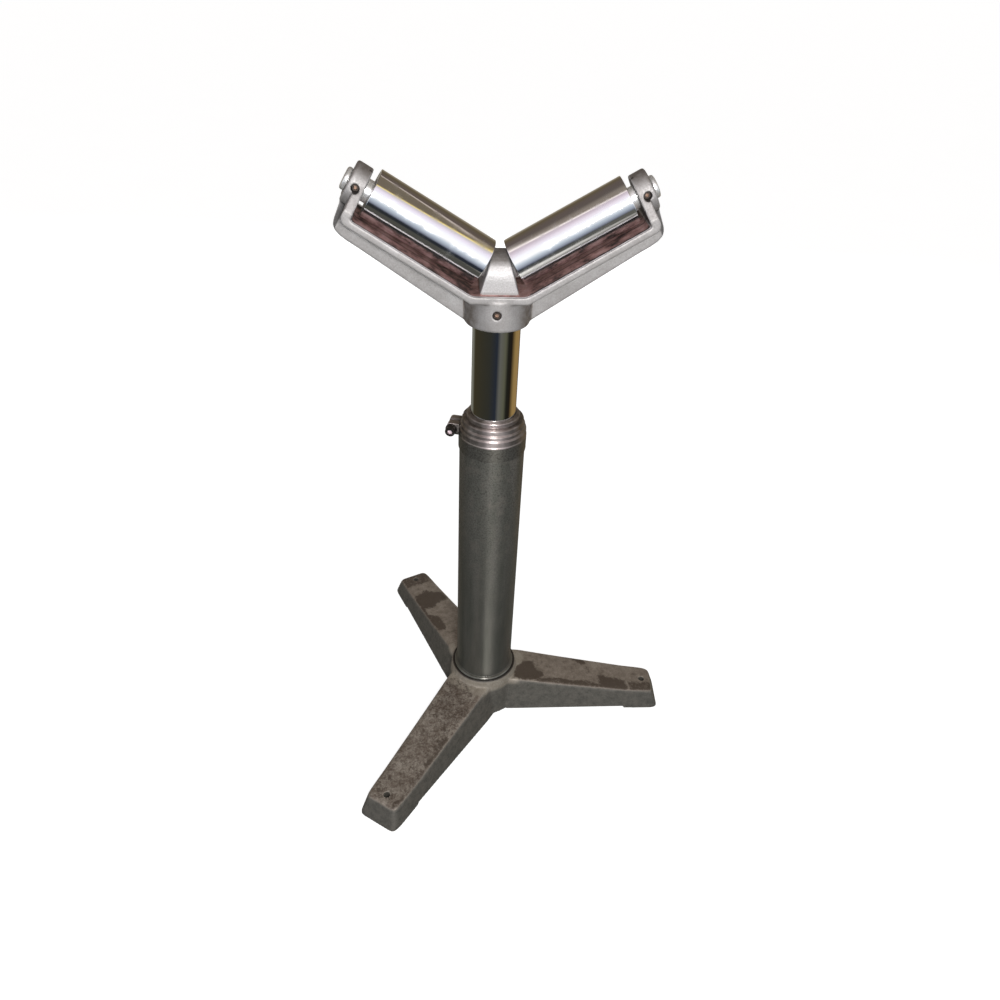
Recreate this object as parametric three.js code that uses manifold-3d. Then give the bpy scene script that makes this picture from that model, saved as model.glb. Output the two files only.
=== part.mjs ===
// V roller stand: a height-adjustable pedestal with two rollers set in a V.
// Millimetres, +Z up. The origin is on the floor, under the middle of the box
// around the whole stand. The column axis stands at (AXIS_X, AXIS_Y).
// The head's V opens along X; the rollers lie in the vertical plane through
// the column axis that is parallel to XZ.
import * as THREE from 'three';
import { mergeVertices } from 'three/addons/utils/BufferGeometryUtils.js';
import Module from 'manifold-3d';

const wasm = await Module();
wasm.setup();

// ---------------------------------------------------------------- dimensions
const DEG = Math.PI / 180;
const GAP = 0.3;                 // clearance kept between touching pieces
const AXIS_X = -55.9;            // column axis, from the box centre
const AXIS_Y = -7.4;

// base casting
const BASE_TURN = -3.4 * DEG;    // how far the right leg is turned from +X
const LEG_END = 300;             // reach of a leg on the floor
const HUB_R_FOOT = 60.5;
const HUB_R_TOP = 52.5;
const HUB_TOP = 75.2;
const HUB_RIM_TOP = 77;
const FOOT_LIFT = 4;             // underside above the floor between hub and pad
const PAD_START = 248;
const WALL = 7.5;                // casting wall
const HOLE_U = 272;              // anchor hole, from the column axis
const HOLE_R = 4.5;
const SEAT_Z = 14;               // shoulder under the outer column

// columns
const OUT_R = 44.5;
const OUT_RI = 40.5;
const OUT_TOP = 519.5;
const OUT_TURNED_R = 42.7;
const SKIRT_Z = 497.3;
const IN_R = 30;
const IN_RI = 26;
const IN_BOTTOM = 150;
const IN_TOP = 706;

// clamp collar
const COLLAR_TOP = 543;
const CLAMP_TURN = -14 * DEG;    // the slit points 14 degrees behind -X
const CLAMP_X = -54;             // screw axis, in the collar's own turned frame
const CLAMP_Z = 522;
const LUG_END = -60.4;
const LUG_Z0 = 513.6, LUG_Z1 = 530.4;
const LUG_Y = 12.2;
const SLIT = 6;

// head
const TILT = 30.5 * DEG;         // each roller above the horizontal
const AX = 19.9, AZ = 750.3;     // roller axis starts here (right roller)
const HEAD_HALF = 39;            // half depth of the channel
const HUB_R = 40.4;
const HUB_BOTTOM = 677.8;
const FLOOR_TOP = 720.9;         // top of the channel's lips at the middle
const CH_T = 8.3;                // channel thickness at the lips
const CH_TILT = 32 * DEG;
const LIP = 5.5, LIP_H = 2;
const EAR_IN = 153.7, EAR_OUT = 163.9, BOSS_OUT = 172.7, BOSS_R = 24;
const WEB_T = 13;
const POST_HALF = 28;
const SCREW_T = 1.8;             // axle set screws sit this far above the roller's axis
const SCREW_TURN = -3.9 * DEG;   // head set screws, round the hub

// rollers
const ROL_R = 28.5, ROL_RI = 25;
const ROL_S0 = -1.3, ROL_S1 = 146.3;
const AXLE_R = 10;
const BR_W = 14;                 // bearing width

// ---------------------------------------------------------------- materials
const mat = (color, roughness, metalness) =>
  new THREE.MeshStandardMaterial({ color, roughness, metalness });
const castBase = () => mat(0x5d574d, 0.55, 0.35);
const paintedTube = () => mat(0x4a4a45, 0.4, 0.45);
const castHead = () => mat(0x9c9a96, 0.5, 0.45);
const chrome = () => mat(0x8f8d88, 0.08, 1.0);
const steel = () => mat(0xa9a9a6, 0.3, 0.9);
const dark = () => mat(0x37332f, 0.45, 0.7);

// ---------------------------------------------------------------- helpers
const sub = (a, b) => [a[0] - b[0], a[1] - b[1], a[2] - b[2]];

// one welded, closed geometry with its faces turned outward
function closed(geo) {
  const g = geo.clone();
  for (const k of Object.keys(g.attributes)) if (k !== 'position') g.deleteAttribute(k);
  const m = mergeVertices(g, 1e-4);
  const p = m.attributes.position;
  const idx = m.index.array;
  const at = (i) => [p.getX(i), p.getY(i), p.getZ(i)];
  const keep = [];
  let volume = 0;
  for (let i = 0; i < idx.length; i += 3) {
    const [a, b, c] = [idx[i], idx[i + 1], idx[i + 2]];
    if (a === b || b === c || c === a) continue;
    keep.push(a, b, c);
    const [A, B, C] = [at(a), at(b), at(c)];
    volume += A[0] * (B[1] * C[2] - B[2] * C[1]) - A[1] * (B[0] * C[2] - B[2] * C[0])
      + A[2] * (B[0] * C[1] - B[1] * C[0]);
  }
  if (volume < 0) for (let i = 0; i < keep.length; i += 3) [keep[i], keep[i + 1]] = [keep[i + 1], keep[i]];
  const out = new THREE.BufferGeometry();
  out.setAttribute('position', p);
  out.setIndex(keep);
  return out;
}

const solid = (geo) => {
  const g = closed(geo);
  return new wasm.Manifold(new wasm.Mesh({
    numProp: 3,
    vertProperties: new Float32Array(g.attributes.position.array),
    triVerts: new Uint32Array(g.index.array),
  }));
};

function geometryOf(man) {
  const m = man.getMesh();
  const n = m.numProp;
  const pos = new Float32Array((m.vertProperties.length / n) * 3);
  for (let i = 0; i < pos.length / 3; i++) {
    pos[3 * i] = m.vertProperties[n * i];
    pos[3 * i + 1] = m.vertProperties[n * i + 1];
    pos[3 * i + 2] = m.vertProperties[n * i + 2];
  }
  const g = new THREE.BufferGeometry();
  g.setAttribute('position', new THREE.BufferAttribute(pos, 3));
  g.setIndex(new THREE.BufferAttribute(new Uint32Array(m.triVerts), 1));
  return g;
}

// a turned ring or solid about Z; the profile of [r, z] points is closed here
function turned(profile, segments = 64) {
  const pts = profile.map(([r, z]) => new THREE.Vector2(r, z));
  pts.push(pts[0].clone());
  return closed(new THREE.LatheGeometry(pts, segments).rotateX(Math.PI / 2));
}

// a bar about Z that ends on the axis at both ends
function bar(profile, segments = 48) {
  const z0 = profile[0][1], z1 = profile[profile.length - 1][1];
  const pts = [[0, z0], ...profile, [0, z1]].map(([r, z]) => new THREE.Vector2(r, z));
  return closed(new THREE.LatheGeometry(pts, segments).rotateX(Math.PI / 2));
}

// outline in X and Z, run along Y from y0 to y1
function alongY(points, y0, y1, holes = []) {
  const s = new THREE.Shape(points.map(([x, z]) => new THREE.Vector2(x, z)));
  for (const h of holes) s.holes.push(new THREE.Path(h.map(([x, z]) => new THREE.Vector2(x, z))));
  const g = new THREE.ExtrudeGeometry(s, { depth: y1 - y0, bevelEnabled: false, steps: 1 });
  g.rotateX(Math.PI / 2);
  g.translate(0, y1, 0);
  return g;
}

// outline in Y and Z, run along X from x0 to x1
function alongX(points, x0, x1) {
  const s = new THREE.Shape(points.map(([y, z]) => new THREE.Vector2(y, z)));
  const g = new THREE.ExtrudeGeometry(s, { depth: x1 - x0, bevelEnabled: false, steps: 1 });
  g.applyMatrix4(new THREE.Matrix4().set(0, 0, 1, x0, 1, 0, 0, 0, 0, 1, 0, 0, 0, 0, 0, 1));
  return g;
}

// outline in X and Y, run up Z from z0 to z1
function alongZ(points, z0, z1) {
  const s = new THREE.Shape(points.map(([x, y]) => new THREE.Vector2(x, y)));
  const g = new THREE.ExtrudeGeometry(s, { depth: z1 - z0, bevelEnabled: false, steps: 1 });
  g.translate(0, 0, z0);
  return g;
}

const circle = (cx, cy, r, n = 32, a0 = 0) =>
  Array.from({ length: n }, (_, i) => [cx + r * Math.cos(a0 + (i * 2 * Math.PI) / n), cy + r * Math.sin(a0 + (i * 2 * Math.PI) / n)]);
const box = (x0, x1, y0, y1, z0, z1) =>
  new THREE.BoxGeometry(x1 - x0, y1 - y0, z1 - z0).translate((x0 + x1) / 2, (y0 + y1) / 2, (z0 + z1) / 2);
const cylY = (cx, cz, r, y0, y1, n = 32) => alongY(circle(cx, cz, r, n), y0, y1);

// the frame of one roller: local Z runs out along its axis, side is +1 or -1
function rollerMatrix(side) {
  const m = new THREE.Matrix4().makeRotationY(side * (Math.PI / 2 - TILT));
  m.setPosition(side * AX, 0, AZ);
  return m;
}
// point of the head in X and Z from distance s along the right roller's axis
// and t square to it, upward
const st = (s, t) => [AX + s * Math.cos(TILT) - t * Math.sin(TILT), AZ + s * Math.sin(TILT) + t * Math.cos(TILT)];

const root = new THREE.Group();
const stand = new THREE.Group();
stand.position.set(AXIS_X, AXIS_Y, 0);
root.add(stand);
function add(parent, name, geo, material) {
  const g = closed(geo);
  g.computeVertexNormals();
  const mesh = new THREE.Mesh(g, material);
  mesh.name = name;
  parent.add(mesh);
  return mesh;
}

// ---------------------------------------------------------------- base casting
const lerp = (x, xs, ys) => {
  if (x <= xs[0]) return ys[0];
  for (let i = 1; i < xs.length; i++) {
    if (x <= xs[i]) return ys[i - 1] + ((x - xs[i - 1]) / (xs[i] - xs[i - 1])) * (ys[i] - ys[i - 1]);
  }
  return ys[ys.length - 1];
};
const legTop = (u) => lerp(u, [50, 120, 240, 288], [65.5, 54.8, 39.0, 36.2]);
const legHalfTop = (u) => lerp(u, [50, 240, 288], [35.2, 28.6, 26.2]);
const legHalfFoot = (u) => lerp(u, [50, 248, 300], [47.2, 35.2, 33.6]);

// one leg lofted along +X from closed sections with rounded top corners
function legGeometry() {
  // [reach at the foot, reach at the top, narrowing, lowering]
  const stations = [
    [20, 20, 0, 0], [60, 60, 0, 0], [100, 100, 0, 0], [140, 140, 0, 0], [180, 180, 0, 0],
    [220, 220, 0, 0], [244, 240, 0, 0], [268, 260, 0, 0], [286, 276, 0.3, 0.2],
    [293, 282.5, 1.2, 0.9], [297.2, 286.2, 3.0, 2.2], [299.4, 288.0, 5.6, 4.2], [LEG_END, 288.8, 8.4, 6.4],
  ];
  const section = ([uf, ut, nar, low]) => {
    const zt = legTop(ut) - low;
    const wt = legHalfTop(ut) - nar;
    const wf = legHalfFoot(uf) - nar;
    const r = 5;
    const side = (z) => wf + (wt - wf) * (z / zt);
    const right = [[wf - 1.2, 0], [wf, 1.6], [side(zt - r), zt - r], [side(zt) - 0.45, zt - 2.5], [side(zt) - 2.0, zt - 0.75], [side(zt) - r, zt]];
    const pts = [...right, ...right.slice().reverse().map(([t, z]) => [-t, z])];
    return pts.map(([t, z]) => [uf + (ut - uf) * (z / zt), t, z]);
  };
  const rings = stations.map(section);
  const ref = rings[3].map(([, t, z]) => new THREE.Vector2(t, z));
  const g = new THREE.ExtrudeGeometry(new THREE.Shape(ref), { depth: rings.length - 1, steps: rings.length - 1, bevelEnabled: false });
  const p = g.attributes.position;
  for (let i = 0; i < p.count; i++) {
    const x = p.getX(i), y = p.getY(i), k = Math.round(p.getZ(i));
    let best = 0, bd = 1e9;
    ref.forEach((q, j) => { const d = (q.x - x) ** 2 + (q.y - y) ** 2; if (d < bd) { bd = d; best = j; } });
    p.setXYZ(i, ...rings[k][best]);
  }
  return g;
}

// the hollow under one leg; it ends at the solid foot pad
function legHollow() {
  const stations = [[66, 66], [110, 110], [160, 160], [205, 205], [236, 235], [243, 240]];
  const section = ([uf, ut], k) => {
    const zt = legTop(ut) - WALL;
    const slim = k === stations.length - 1 ? 3 : 0;
    const wf = legHalfFoot(uf) - WALL - slim, wt = legHalfTop(ut) - WALL + 1 - slim;
    const pts = [[wf + 0.4, -1], [wt, zt - 2], [wt - 2, zt], [-wt + 2, zt], [-wt, zt - 2], [-wf - 0.4, -1]];
    return pts.map(([t, z]) => [uf + (ut - uf) * (z / zt), t, z]);
  };
  const rings = stations.map(section);
  const ref = rings[2].map(([, t, z]) => new THREE.Vector2(t, z));
  const g = new THREE.ExtrudeGeometry(new THREE.Shape(ref), { depth: rings.length - 1, steps: rings.length - 1, bevelEnabled: false });
  const p = g.attributes.position;
  for (let i = 0; i < p.count; i++) {
    const x = p.getX(i), y = p.getY(i), k = Math.round(p.getZ(i));
    let best = 0, bd = 1e9;
    ref.forEach((q, j) => { const d = (q.x - x) ** 2 + (q.y - y) ** 2; if (d < bd) { bd = d; best = j; } });
    p.setXYZ(i, ...rings[k][best]);
  }
  return g;
}

{
  let base = solid(bar([[HUB_R_FOOT - 0.5, 0], [HUB_R_FOOT, 4], [HUB_R_TOP + 1.5, 66], [HUB_R_TOP + 0.4, 73], [HUB_R_TOP - 0.6, HUB_RIM_TOP - 0.8], [HUB_R_TOP - 1.6, HUB_RIM_TOP]], 56));
  const legTurn = (k) => new THREE.Matrix4().makeRotationZ(BASE_TURN + (k * 2 * Math.PI) / 3);
  for (let k = 0; k < 3; k++) base = base.add(solid(legGeometry().applyMatrix4(legTurn(k))));
  // underside raised between the pads
  base = base.subtract(solid(alongZ(circle(0, 0, PAD_START - 4, 72), -2, FOOT_LIFT)));
  for (let k = 0; k < 3; k++) {
    base = base.subtract(solid(legHollow().applyMatrix4(legTurn(k))));
    base = base.subtract(solid(alongZ(circle(HOLE_U, 0, HOLE_R, 24), -5, 80).applyMatrix4(legTurn(k))));
  }
  // seat of the outer column, and the recess inside the rim
  base = base.subtract(solid(turned([[20, HUB_TOP], [HUB_R_TOP - 3.6, HUB_TOP], [HUB_R_TOP - 2.6, 90], [20, 90]], 56)));
  base = base.subtract(solid(bar([[OUT_R + GAP, SEAT_Z], [OUT_R + GAP, 95]], 56)));
  base = base.subtract(solid(bar([[37, -5], [37, 50]], 48)));
  add(stand, 'base_casting', geometryOf(base), castBase());
}

// ---------------------------------------------------------------- columns
add(stand, 'outer_column', turned([
  [OUT_RI, SEAT_Z + GAP], [OUT_R, SEAT_Z + GAP], [OUT_R, HUB_TOP + GAP],
  [48.3, HUB_TOP + GAP], [48.3, HUB_TOP + 2.2], [47, HUB_TOP + 3.7], [OUT_R, HUB_TOP + 4.8],
  [OUT_R, SKIRT_Z - GAP], [OUT_TURNED_R, SKIRT_Z - GAP], [OUT_TURNED_R, OUT_TOP], [OUT_RI, OUT_TOP],
], 56), paintedTube());

{
  let collar = solid(turned([
    [OUT_TURNED_R + GAP, SKIRT_Z], [45.9, SKIRT_Z], [45.9, 519], [45.3, 520.4], [45.3, 527.4], [43.5, 529.6],
    [43.5, 533.8], [41.4, 536], [41.3, 541.6], [39.8, COLLAR_TOP],
    [33.4, COLLAR_TOP], [33.4, 539.7], [IN_R + 0.4, 539.7], [IN_R + 0.4, OUT_TOP + GAP], [OUT_TURNED_R + GAP, OUT_TOP + GAP],
  ], 56));
  const lug = [[-41.5, LUG_Z0], [-41.5, LUG_Z1], [LUG_END + 4.5, LUG_Z1], [LUG_END + 1.6, LUG_Z1 - 1.2], [LUG_END + 0.3, LUG_Z1 - 3.6],
    [LUG_END, LUG_Z1 - 6], [LUG_END, LUG_Z0 + 6], [LUG_END + 0.3, LUG_Z0 + 3.6], [LUG_END + 1.6, LUG_Z0 + 1.2], [LUG_END + 4.5, LUG_Z0]];
  let lugs = solid(alongY(lug, -LUG_Y, LUG_Y));
  lugs = lugs.subtract(solid(bar([[43.6, 400], [43.6, 600]], 56)));
  // the front lug is drilled, the back one tapped; both are cut by the slit
  lugs = lugs.subtract(solid(cylY(CLAMP_X, CLAMP_Z, 4.6, -30, 0, 24))).subtract(solid(cylY(CLAMP_X, CLAMP_Z, 4.3, -1, 30, 24)));
  lugs = lugs.subtract(solid(box(-90, -20, -SLIT / 2, SLIT / 2, 480, 560)));
  collar = collar.subtract(solid(box(-90, -20, -SLIT / 2, SLIT / 2, 480, 560))).add(lugs);
  add(stand, 'clamp_collar', geometryOf(collar), mat(0x4f4c46, 0.35, 0.6)).rotation.z = CLAMP_TURN;
}
add(stand, 'wiper_ring', turned([
  [IN_R + 0.35, 540], [33.1, 540], [33.1, COLLAR_TOP + GAP], [35.5, COLLAR_TOP + GAP], [35.5, 548.4], [34.7, 549.6], [31.2, 551.2], [IN_R + 0.35, 551.2],
], 48), mat(0x6e6860, 0.35, 0.6));

// clamp screw and its washer; the screw's head is at the front
const clampTurn = new THREE.Group();
clampTurn.rotation.z = CLAMP_TURN;
stand.add(clampTurn);
const clampGroup = new THREE.Group();
clampGroup.position.set(CLAMP_X, 0, CLAMP_Z);
clampGroup.rotation.x = Math.PI / 2;      // local +Z points to -Y, the head's side
clampTurn.add(clampGroup);
{
  let screw = solid(bar([[3.2, -10.6], [4, -9.8], [4, LUG_Y + 2.2], [6.4, LUG_Y + 2.2], [6.8, LUG_Y + 2.6], [6.8, LUG_Y + 9.4], [6.1, LUG_Y + 10.2]], 28));
  screw = screw.subtract(solid(alongZ(circle(0, 0, 3.6, 6), LUG_Y + 6, LUG_Y + 12)));
  add(clampGroup, 'clamp_screw', geometryOf(screw), dark());
}
add(clampGroup, 'clamp_washer', turned([[4.4, LUG_Y + GAP], [8, LUG_Y + GAP], [8, LUG_Y + 1.9], [4.4, LUG_Y + 1.9]], 28), steel());

// the bush rides up and down with the inner column, between two rings that
// sit in grooves of the column, and the column can turn in it
add(stand, 'inner_column', turned([
  [IN_RI, IN_BOTTOM], [IN_R, IN_BOTTOM], [IN_R, 152.6], [IN_R - 1.6, 152.6], [IN_R - 1.6, 155], [IN_R, 155],
  [IN_R, 189.5], [IN_R - 1.6, 189.5], [IN_R - 1.6, 191.9], [IN_R, 191.9], [IN_R, IN_TOP], [IN_RI, IN_TOP],
], 48), chrome());
add(stand, 'lower_guide_bush', turned([
  [IN_R + 0.3, 155.3], [40.1, 155.3], [40.1, 189.2], [IN_R + 0.3, 189.2],
], 48), dark());
for (const [name, z] of [['lower_bush_ring', 152.9], ['upper_bush_ring', 189.8]]) {
  add(stand, name, turned([[IN_R - 1.3, z], [35.5, z], [35.5, z + 1.8], [IN_R - 1.3, z + 1.8]], 32), dark());
}

// ---------------------------------------------------------------- head bracket
const mirrored = (g) => g.clone().scale(-1, 1, 1);
{
  const c32 = Math.cos(CH_TILT), t32 = Math.tan(CH_TILT);
  const upper = (x) => FLOOR_TOP + (x - 32) * t32;
  const lower = (x) => FLOOR_TOP - CH_T / c32 + (x - 32) * t32;
  const xi = 166.2;                                   // inner corner at the ear
  const [e1x, e1z] = st(EAR_IN, -20);
  const [e2x, e2z] = st(EAR_OUT, -20);
  const inner = [[0, FLOOR_TOP], [28.5, FLOOR_TOP], [33, FLOOR_TOP + 1.3], [37, upper(37)], [xi - 2.6, upper(xi - 2.6)], [xi - 0.4, upper(xi) + 1.2]];
  const outer = [[e2x, e2z], [174.2, 811.8], [175.6, 808.6], [176, 805], [175.2, 801.6], [173.2, 799.2], [170.4, lower(170.4)],
    [38, lower(38)], [34.4, FLOOR_TOP - CH_T - 0.1], [0, FLOOR_TOP - CH_T]];
  const bothSides = (pts) => [...pts, ...pts.slice().reverse().filter(([x]) => x > 1e-6).map(([x, z]) => [-x, z])];
  const strap = solid(alongY(bothSides([...inner.slice(1), [e1x, e1z], ...outer.slice(0, -1)]), -HEAD_HALF, HEAD_HALF));
  // the channel's floor and the ear's inner face lie behind the front and back lips
  const d = LIP_H;
  const trough = [[29, FLOOR_TOP - d], [34, FLOOR_TOP - d + 1.3], [xi - 3, upper(xi - 3) - d / c32], [xi - 1.6, upper(xi - 1.6) - d / c32 + 1.2], st(EAR_IN - 0.001, -19.5), st(EAR_IN - 8, -6), [40, FLOOR_TOP + 30]];
  const channel = solid(alongY(bothSides(trough), -HEAD_HALF + LIP, HEAD_HALF - LIP));

  const webPts = [[16, 714], [16, 680], [40.4, 680], [100, 721.4], [162, 764.4], [176, 773.6], [183.6, 779.8], [188, 785.6], [189.1, 791],
    [187.8, 796.8], [184, 805.8], [180.2, 814.6], [177.8, 822.6], [177.1, 826.8], [168, 823], [168, 806], [160, lower(160) + 4], [40, lower(40) + 4], [30, 716]];
  const web = solid(alongY(webPts, -WEB_T / 2, WEB_T / 2));

  // ear: a plate square to the roller's axis, rounded over the boss
  const earOutline = [];
  const arcR = BOSS_R - 0.5;                          // just inside the boss barrel
  const a0 = Math.acos(arcR / Math.hypot(HEAD_HALF, 20));
  const corner = Math.atan2(-20, HEAD_HALF);            // direction of the ear's lower corner
  const tan0 = corner + a0;                             // tangent point on the right
  const n = 12;
  for (let i = 0; i <= n; i++) {
    const a = tan0 + (i * (Math.PI - 2 * tan0)) / n;
    earOutline.push([arcR * Math.cos(a), arcR * Math.sin(a)]);
  }
  earOutline.push([-HEAD_HALF, -20], [-HEAD_HALF, -24], [HEAD_HALF, -24], [HEAD_HALF, -20]);
  // outline in Y and t, run along the roller's axis
  const ear = new THREE.ExtrudeGeometry(new THREE.Shape(earOutline.map(([y, t]) => new THREE.Vector2(y, t))), { depth: EAR_OUT - EAR_IN, bevelEnabled: false });
  ear.translate(0, 0, EAR_IN);
  ear.applyMatrix4(new THREE.Matrix4().set(
    0, -Math.sin(TILT), Math.cos(TILT), AX,
    1, 0, 0, 0,
    0, Math.cos(TILT), Math.sin(TILT), AZ,
    0, 0, 0, 1));
  const boss = bar([[BOSS_R - 0.8, EAR_IN], [BOSS_R, EAR_IN + 0.8], [BOSS_R, BOSS_OUT - 1.6], [BOSS_R - 1.6, BOSS_OUT]], 40).applyMatrix4(rollerMatrix(1));
  const postBoss = bar([[14.5, -14], [14.5, -2.7]], 28).applyMatrix4(rollerMatrix(1));

  const half = web.add(solid(ear)).add(solid(boss)).add(solid(postBoss));

  // middle post: wedge from the front, round-topped from the side
  const postFront = [[26, 716], [23.4, 719.6], [21.6, 725], [19.2, 733], [13.6, 752], [9.6, 762.4], [8.2, 764.4], [6.6, 765.6]];
  const wedge = solid(alongY([...postFront, ...postFront.slice().reverse().map(([x, z]) => [-x, z])], -40, 40));
  const arch = [[POST_HALF, 712], ...Array.from({ length: 17 }, (_, i) => {
    const a = (i * Math.PI) / 16;
    return [POST_HALF * Math.cos(a), 737.6 + POST_HALF * Math.sin(a)];
  }), [-POST_HALF, 712]];
  const post = wedge.intersect(solid(alongX(arch, -40, 40)));

  const halfMesh = geometryOf(half);
  let head = strap.subtract(channel).add(half).add(solid(mirrored(halfMesh))).add(post);
  head = head.add(solid(bar([[HUB_R - 1.2, HUB_BOTTOM], [HUB_R, HUB_BOTTOM + 1.2], [HUB_R, 715]], 48)));
  // bore for the inner column, axle bores, set screw holes
  head = head.subtract(solid(bar([[IN_R + GAP + 0.8, HUB_BOTTOM - 1], [IN_R + GAP, HUB_BOTTOM + 1], [IN_R + GAP, IN_TOP + 0.6]], 48)));
  for (const side of [1, -1]) {
    const m = rollerMatrix(side);
    head = head.subtract(solid(bar([[AXLE_R + GAP, -13], [AXLE_R + GAP, 20]], 28).applyMatrix4(m)));
    head = head.subtract(solid(bar([[AXLE_R + GAP, 140], [AXLE_R + GAP, 190]], 28).applyMatrix4(m)));
    const [sx, sz] = st((EAR_IN + BOSS_OUT) / 2, SCREW_T);
    head = head.subtract(solid(cylY(side * sx, sz, 4.5, -40, -5, 20)));
  }
  const screwTurn = new THREE.Matrix4().makeRotationZ(SCREW_TURN);
  for (const [y0, y1] of [[-50, -20], [20, 50]]) head = head.subtract(solid(cylY(0, 699.5, 5, y0, y1, 20).applyMatrix4(screwTurn)));
  add(stand, 'head_bracket', geometryOf(head), castHead());
}

// a set screw along local Z with a six-sided socket in its outer end
function setScrew(r, z0, z1, socket) {
  let s = solid(bar([[r - 1, z0], [r, z0 + 1], [r, z1 - 0.5], [r - 0.5, z1]], 18));
  s = s.subtract(solid(alongZ(circle(0, 0, socket, 6), z1 - 3.5, z1 + 1)));
  return geometryOf(s);
}
const hubScrews = new THREE.Group();
hubScrews.rotation.z = SCREW_TURN;
stand.add(hubScrews);
const along = (parent, name, x, z, dir, geo) => {
  const m = add(parent, name, geo, dark());
  m.position.set(x, 0, z);
  m.rotation.x = dir < 0 ? Math.PI / 2 : -Math.PI / 2;
};
along(hubScrews, 'front_head_set_screw', 0, 699.5, -1, setScrew(4.7, 30.6, 39.6, 2.6));
along(hubScrews, 'back_head_set_screw', 0, 699.5, 1, setScrew(4.7, 30.6, 39.6, 2.6));

// ---------------------------------------------------------------- rollers
for (const [side, name] of [[-1, 'left'], [1, 'right']]) {
  const g = new THREE.Group();
  g.position.set(side * AX, 0, AZ);
  g.rotation.y = side * (Math.PI / 2 - TILT);
  stand.add(g);

  add(g, `${name}_roller_tube`, turned([
    [ROL_RI, ROL_S0], [ROL_R - 0.8, ROL_S0], [ROL_R, ROL_S0 + 0.8],
    [ROL_R, ROL_S1 - 0.8], [ROL_R - 0.8, ROL_S1], [ROL_RI, ROL_S1],
  ], 56), chrome());

  // a pressed cup holds the bearing in each end of the tube; out is the way out
  const ends = [['inner', ROL_S0 + 0.3, 1], ['outer', ROL_S1 - 0.3, -1]];
  for (const [end, s, dir] of ends) {
    const cup = [[17, 0], [24.7, 0], [24.7, 16.6], [23.5, 16.6], [23.5, 1.5], [17, 1.5]].map(([r, z]) => [r, s + dir * z]);
    add(g, `${name}_${end}_bearing_cup`, turned(cup, 28), steel());
    const b = (z) => s + dir * (1.8 + z);
    const ring = (pts) => turned(pts.map(([r, z]) => [r, b(z)]), 24);
    add(g, `${name}_${end}_bearing_outer_race`, ring([[23.2, 0], [23.2, BR_W], [18.8, BR_W], [18.8, 10.9], [21.2, 7], [18.8, 3.1], [18.8, 0]]), steel());
    add(g, `${name}_${end}_bearing_inner_race`, ring([[AXLE_R + GAP, 0], [14.2, 0], [14.2, 3.1], [12.1, 7], [14.2, 10.9], [14.2, BR_W], [AXLE_R + GAP, BR_W]]), steel());
    // eight balls held in a ribbon cage
    let balls = solid(turned([[15.7, 0], [17.3, 0], [17.3, 3.2], [15.7, 3.2]].map(([r, z]) => [r, b(5.4 + z)]), 24));
    for (let i = 0; i < 8; i++) {
      const a = (i * Math.PI) / 4;
      const ball = solid(new THREE.IcosahedronGeometry(3.8, 0).translate(16.5 * Math.cos(a), 16.5 * Math.sin(a), b(7)));
      balls = balls.add(ball);
    }
    add(g, `${name}_${end}_bearing_ball_cage`, geometryOf(balls), steel());
  }

  add(g, `${name}_axle`, bar([
    [AXLE_R - 0.8, -12.4], [AXLE_R, -11.6], [AXLE_R, BOSS_OUT + GAP], [12.2, BOSS_OUT + GAP], [13, BOSS_OUT + 1.2], [13, BOSS_OUT + 3.6], [12.2, BOSS_OUT + 5.2], [10.2, BOSS_OUT + 6],
  ], 28), steel());
  add(g, `${name}_inner_spacer`, turned([[AXLE_R + GAP, -2.4], [13, -2.4], [13, 0.5], [AXLE_R + GAP, 0.5]], 24), steel());
  add(g, `${name}_outer_spacer`, turned([[AXLE_R + GAP, 144.6], [13, 144.6], [13, EAR_IN - GAP], [AXLE_R + GAP, EAR_IN - GAP]], 24), steel());
  const [sx, sz] = st((EAR_IN + BOSS_OUT) / 2, SCREW_T);
  along(stand, `${name}_axle_set_screw`, side * sx, sz, -1, setScrew(4.2, AXLE_R + 0.4, 19.8, 2.3));
}

export default root;
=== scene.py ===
# V roller stand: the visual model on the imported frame. Metres, +Z up.
# The column axis stands at AXIS; shapes are given in millimetres from it.
import math

import bmesh
import bpy
import numpy as np
from mathutils import Matrix, Vector

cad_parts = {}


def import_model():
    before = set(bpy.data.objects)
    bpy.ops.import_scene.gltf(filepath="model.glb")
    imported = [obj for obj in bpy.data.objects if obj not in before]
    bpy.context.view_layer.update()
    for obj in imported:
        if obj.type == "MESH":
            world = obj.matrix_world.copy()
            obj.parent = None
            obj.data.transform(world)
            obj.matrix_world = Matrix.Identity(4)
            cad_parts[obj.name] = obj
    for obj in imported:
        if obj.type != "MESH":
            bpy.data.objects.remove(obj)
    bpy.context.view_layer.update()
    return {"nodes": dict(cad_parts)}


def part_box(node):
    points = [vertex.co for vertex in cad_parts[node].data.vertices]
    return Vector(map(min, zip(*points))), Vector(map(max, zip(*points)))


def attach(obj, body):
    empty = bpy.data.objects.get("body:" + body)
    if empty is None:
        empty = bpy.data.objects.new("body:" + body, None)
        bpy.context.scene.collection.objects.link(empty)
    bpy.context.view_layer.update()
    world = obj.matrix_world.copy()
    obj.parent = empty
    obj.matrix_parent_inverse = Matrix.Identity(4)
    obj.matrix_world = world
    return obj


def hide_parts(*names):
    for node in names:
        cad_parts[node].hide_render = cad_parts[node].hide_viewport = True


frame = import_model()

NODES = frame["nodes"]
SCENE = bpy.context.scene
MM = 0.001
AXIS = Vector((-0.0559, -0.0074, 0.0))
STAND = Matrix.Translation(AXIS)
SCALE = Matrix.Scale(MM, 4)
TILT = math.radians(30.5)
CLAMP_TURN = math.radians(-14.0)
BASE_TURN = math.radians(-3.4)

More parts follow.
